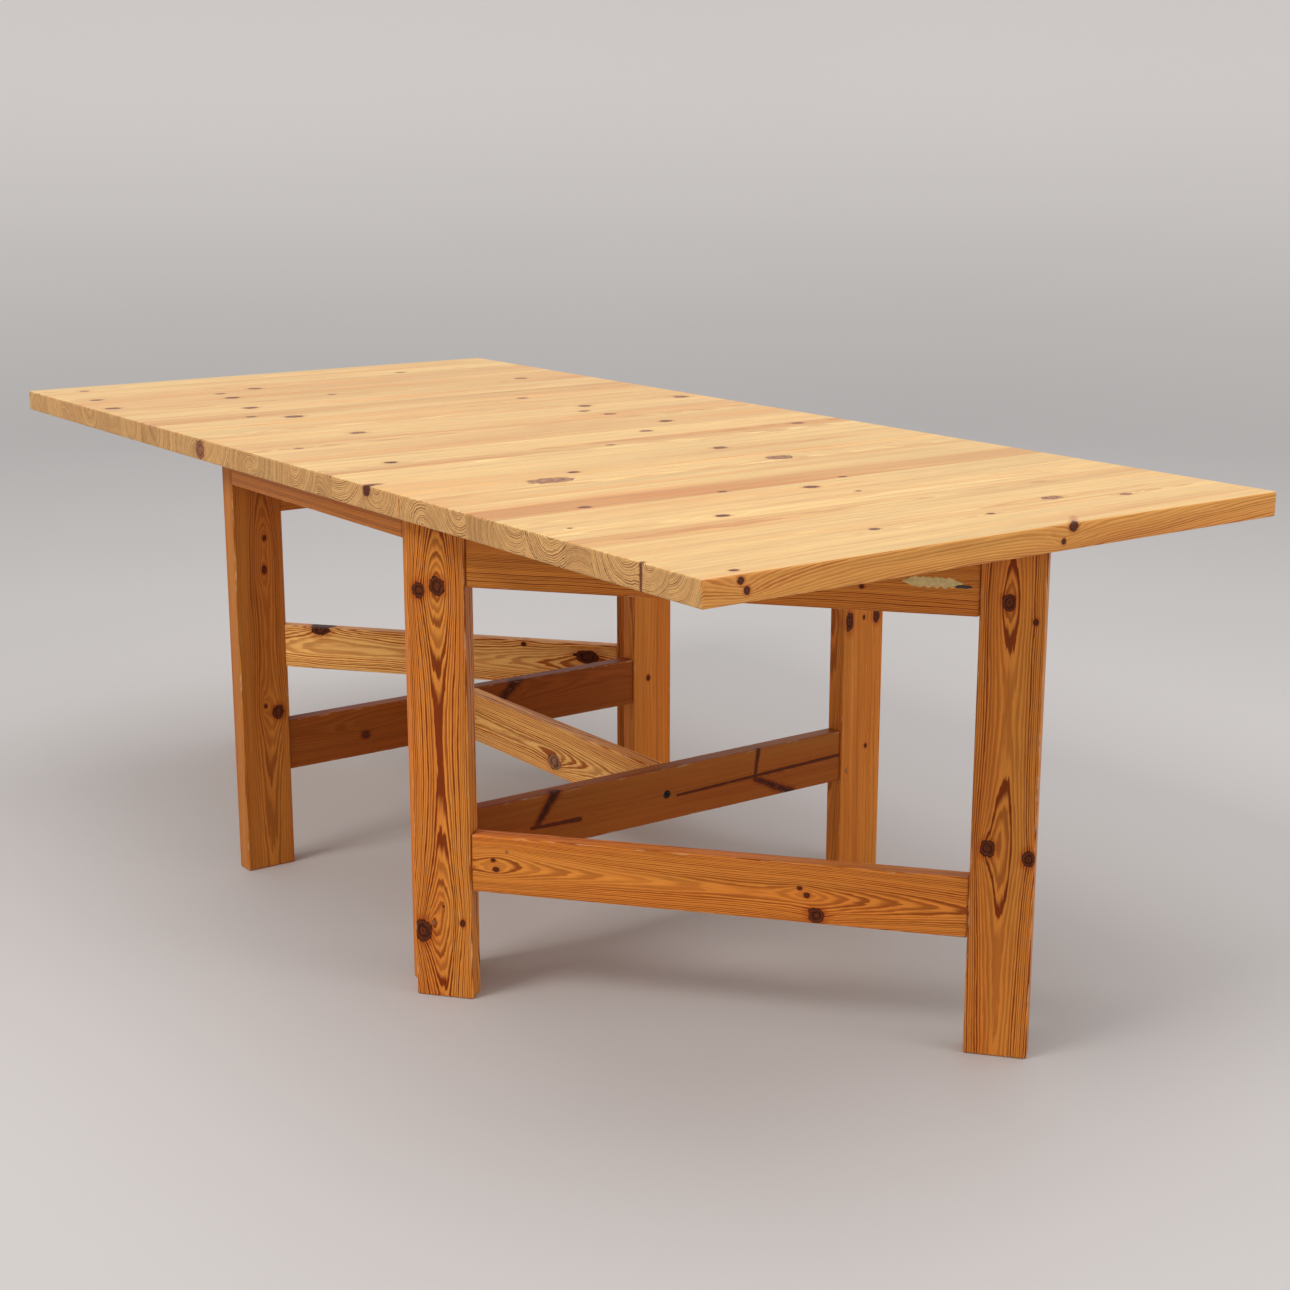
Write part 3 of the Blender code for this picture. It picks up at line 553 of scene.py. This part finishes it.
def build_near_gate():
    gate = Gate("near")
    # the outer face of this gate is on the +w side of an upright, and on -w of a rail
    pine_piece(
        "near_gate_pivot_leg", gate.board("pivot_leg", True, LEG_WIDTH, LEG_THICKNESS), 1.3,
        (0.002, 0.020), (0.004, 0.0), 0.0018, 0.006, [
            leg_knot(0.592, 0.002, 0.0110, lift=9.0, spread=2.6, side=-1),
            leg_knot(0.585, -0.0245, 0.0090, lift=4.0, side=-1),
            leg_knot(0.0965, -0.0300, 0.0135, lift=8.0, spread=1.8, side=-1),
            leg_knot(0.110, -0.0150, 0.0025, lift=7.0, dark=0.5, spread=6.0, side=-1),
            leg_knot(0.135, 0.0010, 0.0015, lift=2.0, spread=5.0, side=-1),
            leg_knot(0.113, 0.0285, 0.0045, lift=2.5, side=-1),
        ], line=1.1,
    )
    pine_piece(
        "near_gate_swing_leg", gate.board("swing_leg", True, LEG_WIDTH, LEG_THICKNESS), 5.9,
        (-0.002, 0.024), (0.0, 0.0), 0.0018, 0.005, [
            leg_knot(0.613, -0.0045, 0.0092, lift=5.0, spread=1.2, side=-1),
            leg_knot(0.590, 0.0290, 0.0038, lift=1.0, side=-1),
            leg_knot(0.2875, -0.0197, 0.0098, lift=6.0, spread=1.6, side=-1),
            leg_knot(0.2775, 0.0333, 0.0090, lift=3.0, side=-1),
        ], tone=0.90, warmth=0.3, line=1.1,
    )
    lower = gate.board("lower_rail", False, 0, RAIL_THICKNESS)
    mid = 0.428
    pine_piece(
        "near_gate_lower_rail", lower, 9.1, (-0.003, -0.020), (0.0, -0.019), 0.0015, 0.005, [
            through(0.118 - mid, 0.0075, 0.003, RAIL_THICKNESS, lift=2.0),
            through(0.122 - mid, -0.006, 0.004, RAIL_THICKNESS, lift=3.0),
            through(0.138 - mid, 0.021, 0.002, RAIL_THICKNESS, lift=5.0, dark=0.2, spread=6.0),
            through(0.547 - mid, 0.007, 0.003, RAIL_THICKNESS, lift=2.0),
            through(0.5566 - mid, -0.002, 0.004, RAIL_THICKNESS, lift=3.0, spread=2.5),
            through(0.570 - mid, -0.029, 0.010, RAIL_THICKNESS, lift=5.0, spread=1.4),
        ], tone=1.0, line=0.8, warmth=0.3,
    )
    pine_piece(
        "near_gate_upper_rail", gate.board("upper_rail", False, 0, RAIL_THICKNESS), 12.4,
        (-0.060, -0.020), (0.0, 0.0), 0.0015, 0.008, [
            through(0.62 - mid, -0.010, 0.003, RAIL_THICKNESS, lift=1.0),
        ], tone=0.93, line=0.9,
    )


def build_far_gate():
    gate = Gate("far")
    pine_piece(
        "far_gate_pivot_leg", gate.board("pivot_leg", True, LEG_WIDTH, LEG_THICKNESS), 14.8,
        (0.010, 0.050), (0.01, 0.0), 0.0014, 0.008, [leg_knot(0.33, 0.012, 0.008, side=-1)],
    )
    pine_piece(
        "far_gate_swing_leg", gate.board("swing_leg", True, LEG_WIDTH, LEG_THICKNESS), 16.2,
        (-0.015, 0.045), (-0.01, 0.0), 0.0015, 0.008, [leg_knot(0.47, -0.010, 0.009, side=-1)],
    )
    mid = 0.428
    pine_piece(
        "far_gate_lower_rail", gate.board("lower_rail", False, 0, RAIL_THICKNESS), 18.5,
        (0.000, 0.030), (0.0, 0.015), 0.0020, 0.010, [
            through(0.685 - mid, 0.040, 0.022, RAIL_THICKNESS, lift=9.0, spread=1.6),
            through(0.270 - mid, 0.035, 0.006, RAIL_THICKNESS, lift=3.0),
            through(0.145 - mid, 0.018, 0.019, RAIL_THICKNESS, lift=7.0, stretch=1.8, spread=1.6),
        ], tone=1.28, warmth=0.0, look=PALE_LOOK,
    )
    pine_piece(
        "far_gate_upper_rail", gate.board("upper_rail", False, 0, RAIL_THICKNESS), 20.3,
        (0.050, 0.030), (0.0, 0.01), 0.0015, 0.008, [through(0.1, 0.012, 0.007, RAIL_THICKNESS)],
    )


def build_frame():
    # wide faces look along X; across = Y and along = Z make through = -X
    legs = {
        "near_left_leg": (21.7, 0.95, (0.006, 0.040), [leg_knot(0.40, 0.012, 0.008)]),
        "near_right_leg": (24.1, 0.98, (0.060, 0.020), [
            leg_knot(0.211, 0.010, 0.0035, side=-1), leg_knot(0.427, 0.000, 0.0030, side=-1),
            leg_knot(0.427, 0.026, 0.0075, side=-1, stretch=1.7), leg_knot(0.423, -0.030, 0.0080, side=-1, stretch=2.2),
            leg_knot(0.175, -0.030, 0.0030, side=-1, lift=6.0, dark=0.4),
        ]),
        "far_left_leg": (27.3, 0.74, (0.006, 0.038), [
            leg_knot(0.552, 0.011, 0.0040, side=-1), leg_knot(0.500, 0.008, 0.0045, side=-1, stretch=1.6),
            leg_knot(0.262, 0.023, 0.0100, side=-1), leg_knot(0.275, 0.001, 0.0030, side=-1),
        ]),
        "far_right_leg": (29.9, 1.02, (0.070, 0.010), [leg_knot(0.205, -0.010, 0.0050, side=-1, dark=0.8)]),
    }
    for name, (seed, tone, pith, knots) in legs.items():
        pine_piece(name, boxed(name, Z, Y), seed, pith, (0.004, 0.0), 0.0016, 0.008, knots, tone=tone,
                   warmth=0.35, line=0.6)
    # along = Y and across = Z make through = +X
    pine_piece(
        "near_lower_end_rail", boxed("near_lower_end_rail", Y, Z), 33.2, (-0.006, 0.012), (0.0, 0.0),
        0.0016, 0.008, [
            spike(-0.235, -0.002, -0.200, 0.045, 0.010, 0.0085), spike(-0.245, -0.006, -0.160, -0.008, 0.013, 0.0032),
            spike(0.020, -0.005, 0.345, 0.002, 0.0135, 0.0026), spike(0.172, -0.006, 0.245, -0.042, 0.010, 0.0075),
            spike(0.172, 0.000, 0.178, 0.040, 0.013, 0.0040),
        ], tone=0.54, warmth=0.7, line=0.45,
    )
    pine_piece(
        "far_lower_end_rail", boxed("far_lower_end_rail", Y, Z), 35.6, (0.020, -0.050), (0.0, 0.0),
        0.0014, 0.008, [
            through(-0.205, -0.006, 0.0065, RAIL_THICKNESS), spike(0.062, 0.010, 0.100, 0.045, 0.010, 0.0100),
        ], tone=0.46, warmth=0.9, line=0.4,
    )
    for number, end in enumerate(("near", "far")):
        name = f"{end}_upper_end_rail"
        pine_piece(name, boxed(name, Y, Z), 38.4 + 3 * number, (0.030, 0.040), (0.0, 0.01), 0.0015,
                   0.008, [through(0.15, -0.01, 0.006, RAIL_THICKNESS)])
    # along = X and across = Z make through = -Y
    for number, side in enumerate(("left", "right")):
        name = f"{side}_side_apron"
        pine_piece(name, boxed(name, X, Z), 45.1 + 3 * number, (0.050, 0.030), (0.0, 0.0), 0.0014, 0.006)
    pine_piece(
        "centre_stretcher", boxed("centre_stretcher", X, Z), 51.4, (-0.002, -0.012), (0.0, -0.030), 0.0024,
        0.006, [through(0.010, -0.018, 0.0135, RAIL_THICKNESS, lift=6.0, stretch=1.5, dark=0.5, spread=1.4)],
        look=PALE_LOOK, tone=1.05, line=1.1,
    )
    for number, end in enumerate(("near", "far")):
        name = f"{end}_gate_stop"
        gate = Gate(end)
        low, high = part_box(name)
        board = Board((low + high) / 2, gate.along, gate.out, Vector((0.040, 0.020, 0.012)))
        pine_piece(name, board, 55.7 + 2 * number, (0.030, 0.020))


# Metal ------------------------------------------------------------------------------

def metal(name, colour, roughness, scratch):
    material, m, shader = new_material(name)
    place = m.add("TexCoord").outputs["Object"]
    cloud = m.noise(place, (70.0, 70.0, 70.0), 3.0, 0.6)
    lines = m.noise(place, (900.0, 900.0, 60.0), 2.0, 0.6)
    tone = m.math("MULTIPLY_ADD", cloud, 0.35, 1.0)
    m.plug(shader.inputs["Base Color"], m.scaled(colour, tone))
    rough = m.math("MULTIPLY_ADD", lines, scratch, roughness)
    m.plug(shader.inputs["Roughness"], rough)
    bump = m.add("Bump")
    bump.inputs["Strength"].default_value = 0.25
    bump.inputs["Distance"].default_value = 0.0001
    m.plug(bump.inputs["Height"], lines)
    m.plug(shader.inputs["Normal"], bump.outputs["Normal"])
    shader.inputs["Metallic"].default_value = 1.0
    return material


def build_metal():
    zinc = metal("zinc_steel", (0.60, 0.59, 0.56), 0.36, 0.30)
    black = metal("black_steel", (0.035, 0.034, 0.036), 0.42, 0.25)
    for name in NODES:
        if "hinge" in name or "screw" in name or "barrel_nut" in name:
            paint(name, zinc)
        elif "bolt" in name:
            paint(name, black)
    return zinc


# Screws in the hinge plates ---------------------------------------------------------

HEAD_RADIUS, HEAD_FOOT = 0.00275, 0.00155
CROSS_REACH, CROSS_WIDTH, CROSS_DEPTH = 0.00150, 0.00036, 0.00085
HOLE_ACROSS, HOLE_SPREAD = 0.62, 0.30


def add_screw_head(bm, place, depth):
    """A countersunk head with a cross recess, facing +Z of its place."""
    def ring(points, height):
        return [bm.verts.new(place @ Vector((x, y, height))) for x, y in points]

    turns = [2 * math.pi * step / 24 for step in range(24)]
    rim = ring([(HEAD_RADIUS * math.cos(a), HEAD_RADIUS * math.sin(a)) for a in turns], -0.00005)
    foot = ring([(HEAD_FOOT * math.cos(a), HEAD_FOOT * math.sin(a)) for a in turns], -depth)
    far, half = CROSS_REACH, CROSS_WIDTH
    arm = [(far, -half), (far, half), (half, half)]
    cross = []
    for quarter in range(4):
        turn = Matrix.Rotation(quarter * math.pi / 2, 2)
        cross.extend(turn @ Vector(point) for point in arm)
    mouth = ring(cross, -0.00005)
    bottom = ring([0.6 * point for point in cross], -CROSS_DEPTH)
    for upper, lower in ((rim, foot), (mouth, bottom)):
        for number, corner in enumerate(upper):
            after = (number + 1) % len(upper)
            bm.faces.new((corner, upper[after], lower[after], lower[number]))
    bm.faces.new(foot)
    bm.faces.new(bottom)
    loops = {edge for loop in (rim, mouth) for number, corner in enumerate(loop)
             for edge in corner.link_edges if edge.other_vert(corner) in (loop[number - 1],)}
    bmesh.ops.triangle_fill(bm, use_beauty=True, edges=list(loops))


def plate_screws(node, body, joint, along, inward, up, offset, thickness, width, zinc):
    """The two screws of one hinge plate, let into its countersunk holes."""
    low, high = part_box(node)
    reach = HOLE_SPREAD * abs((high - low).dot(up))
    axis = Vector(JOINTS[joint]["pos_m"])
    middle = axis + up * (((low + high) / 2) - axis).dot(up) + along * HOLE_ACROSS * width + inward * offset
    bm = bmesh.new()
    facing = (-inward).to_track_quat("Z", "Y").to_matrix().to_4x4()
    for side in (-1, 1):
        turned = Matrix.Rotation(side * 0.5 + middle.x * 9, 4, "Z")
        add_screw_head(bm, Matrix.Translation(middle + side * reach * up) @ facing @ turned, thickness)
    bmesh.ops.recalc_face_normals(bm, faces=bm.faces)
    mesh = bpy.data.meshes.new(f"{node}_screws")
    bm.to_mesh(mesh)
    bm.free()
    mesh.materials.append(zinc)
    screws = bpy.data.objects.new(mesh.name, mesh)
    bpy.context.scene.collection.objects.link(screws)
    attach(screws, body)


def build_hinge_screws(zinc):
    for end, sign in (("near", 1), ("far", -1)):
        gate = Gate(end)
        for number in (1, 2):
            joint, name = f"{end}_gate_swing", f"{end}_gate_hinge_{number}"
            sizes = (0.0005, 0.0012, 0.022, zinc)
            plate_screws(f"{name}_fixed_plate", "root", joint, sign * Y, -sign * X, Z, *sizes)
            plate_screws(f"{name}_moving_plate", f"{end}_gate", joint, gate.along, gate.out, Z, *sizes)
            joint, name = f"{end}_leaf_hinge", f"{end}_leaf_hinge_{number}"
            sizes = (0.0015, 0.0015, 0.030, zinc)
            plate_screws(f"{name}_fixed_plate", "root", joint, -sign * X, Z, Y, *sizes)
            plate_screws(f"{name}_moving_plate", f"{end}_leaf", joint, sign * X, Z, Y, *sizes)


# Old glue on the near gate ----------------------------------------------------------

def scrap(name, gate, start, height, length, depth, colour, roughness, steps=26):
    """A thin torn patch stuck to the outer face of the gate's top rail, level with it."""
    material, m, shader = new_material(name)
    place = m.add("TexCoord").outputs["Object"]
    mottle = m.noise(place, (160.0, 160.0, 240.0), 3.0, 0.6)
    m.plug(shader.inputs["Base Color"], m.scaled(colour, m.math("MULTIPLY_ADD", mottle, 0.9, 1.0)))
    shader.inputs["Roughness"].default_value = roughness
    bm = bmesh.new()
    face = gate.axis + gate.out * (0.0040 + RAIL_THICKNESS)
    columns = []
    for step in range(steps + 1):
        share = step / steps
        torn = math.sin(step * 2.3) + 0.6 * math.sin(step * 5.1 + 1.0)
        ragged = math.cos(step * 1.7) + 0.5 * math.sin(step * 4.3)
        taper = min(1.0, 5.0 * share, 5.0 * (1.0 - share)) + 0.08
        top = height + 0.5 * depth * taper * (1.0 + 0.16 * torn)
        bottom = height - 0.5 * depth * taper * (1.0 + 0.22 * ragged)
        thick = 0.0007 + 0.0003 * math.sin(step * 3.1)
        along = face + gate.along * (start + length * share)
        lift = gate.out * thick
        corners = [(0.0, bottom), (0.8, bottom + 0.0006), (1.0, (top + bottom) / 2), (0.8, top - 0.0006), (0.0, top)]
        columns.append([bm.verts.new(along + lift * rise + Z * level) for rise, level in corners])
    for left, right in zip(columns, columns[1:]):
        for number in range(5):
            after = (number + 1) % 5
            bm.faces.new((left[number], right[number], right[after], left[after]))
    bm.faces.new(columns[0])
    bm.faces.new(columns[-1])
    bmesh.ops.recalc_face_normals(bm, faces=bm.faces)
    mesh = bpy.data.meshes.new(name)
    bm.to_mesh(mesh)
    bm.free()
    mesh.materials.append(material)
    patch = bpy.data.objects.new(name, mesh)
    bpy.context.scene.collection.objects.link(patch)
    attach(patch, "near_gate")


def build_glue():
    gate = Gate("near")
    scrap("glue_residue", gate, 0.671, 0.6330, 0.077, 0.012, (0.62, 0.47, 0.20), 0.65)
    # A small near-black patch at the right end of the pale one.
    scrap("dark_fleck", gate, 0.735, 0.6290, 0.026, 0.004, (0.035, 0.026, 0.022), 0.5, steps=12)


# Studio -----------------------------------------------------------------------------

FLOOR_RADIUS = 5.2
SWEEP_RADIUS = 2.2
WALL_HEIGHT = 6.0


def studio_paint():
    material, m, shader = new_material("studio_grey")
    place = m.add("TexCoord").outputs["Object"]
    cloud = m.noise(place, (0.5, 0.5, 0.5), 2.0)
    height = m.add("SeparateXYZ", place).outputs[2]
    # The grey is painted lighter up the backdrop, up to 1.48 times at 1.5 m: painted light standing in for the light on
    # the upper wall.
    tone = m.math("MULTIPLY_ADD", cloud, 0.06, m.fade(height, -0.3, 1.5, 1.0, 1.48))
    m.plug(shader.inputs["Base Color"], m.scaled((0.496, 0.468, 0.456), tone))
    shader.inputs["Roughness"].default_value = 0.62
    return material


def turned_sheet(name, profile, material, steps=96):
    """A sheet turned about Z from (radius, height) points."""
    bm = bmesh.new()
    rings = []
    for radius, height in profile:
        ring = []
        for step in range(steps):
            turn = 2 * math.pi * step / steps
            ring.append(bm.verts.new((radius * math.cos(turn), radius * math.sin(turn), height)))
        rings.append(ring)
    for inner, outer in zip(rings, rings[1:]):
        for step in range(steps):
            after = (step + 1) % steps
            bm.faces.new((inner[step], outer[step], outer[after], inner[after]))
    mesh = bpy.data.meshes.new(name)
    bm.to_mesh(mesh)
    bm.free()
    mesh.shade_smooth()
    mesh.materials.append(material)
    sheet = bpy.data.objects.new(name, mesh)
    bpy.context.scene.collection.objects.link(sheet)
    return sheet


def area_light(name, place, target, size, power, colour=(1, 1, 1)):
    data = bpy.data.lights.new(name, "AREA")
    data.shape = "RECTANGLE"
    data.size, data.size_y = size
    data.energy = power
    data.color = colour
    lamp = bpy.data.objects.new(name, data)
    lamp.location = place
    lamp.rotation_euler = (Vector(target) - Vector(place)).to_track_quat("-Z", "Y").to_euler()
    lamp.visible_camera = False
    bpy.context.scene.collection.objects.link(lamp)
    return lamp


def build_studio():
    paint_grey = studio_paint()
    floor_profile = [(0.001, 0.0), (1.5, 0.0), (3.0, 0.0), (FLOOR_RADIUS, 0.0)]
    turned_sheet("floor", floor_profile, paint_grey)
    wall_profile = [(FLOOR_RADIUS, 0.0)]
    for step in range(1, 17):
        turn = math.pi / 2 * step / 16
        wall_profile.append((FLOOR_RADIUS + SWEEP_RADIUS * math.sin(turn), SWEEP_RADIUS * (1 - math.cos(turn))))
    wall_profile.append((FLOOR_RADIUS + SWEEP_RADIUS, WALL_HEIGHT))
    wall = turned_sheet("backdrop", wall_profile, paint_grey)
    wall.visible_shadow = False
    wall.visible_diffuse = False
    wall.visible_glossy = False

    world = bpy.data.worlds.new("studio")
    bpy.context.scene.world = world
    world.use_nodes = True
    world.node_tree.nodes["Background"].inputs["Color"].default_value = (0.98, 0.99, 1.0, 1)
    world.node_tree.nodes["Background"].inputs["Strength"].default_value = 0.63

    area_light("key", (0.3, -5.4, 5.6), (0.2, 0, 0.4), (2.4, 2.4), 238, (1.0, 0.99, 0.97))
    area_light("right_fill", (5.5, 2.6, 3.0), (0.3, 0, 0.5), (2.4, 2.4), 60)
    area_light("overhead", (0.3, 0.8, 4.6), (0.1, 0.2, 0), (4.0, 4.0), 89)
    bpy.context.scene.view_settings.view_transform = "Standard"

    camera = bpy.data.cameras.new("camera")
    camera.sensor_width = 36.0
    camera.lens = 59.15
    view = bpy.data.objects.new("camera", camera)
    view.location = (2.7822, -1.8284, 1.1955)
    view.rotation_euler = (math.radians(90 - 13.845), 0, math.radians(54.23))
    bpy.context.scene.collection.objects.link(view)
    bpy.context.scene.camera = view


build_top()
build_near_gate()
build_far_gate()
build_frame()
build_hinge_screws(build_metal())
build_glue()
build_studio()
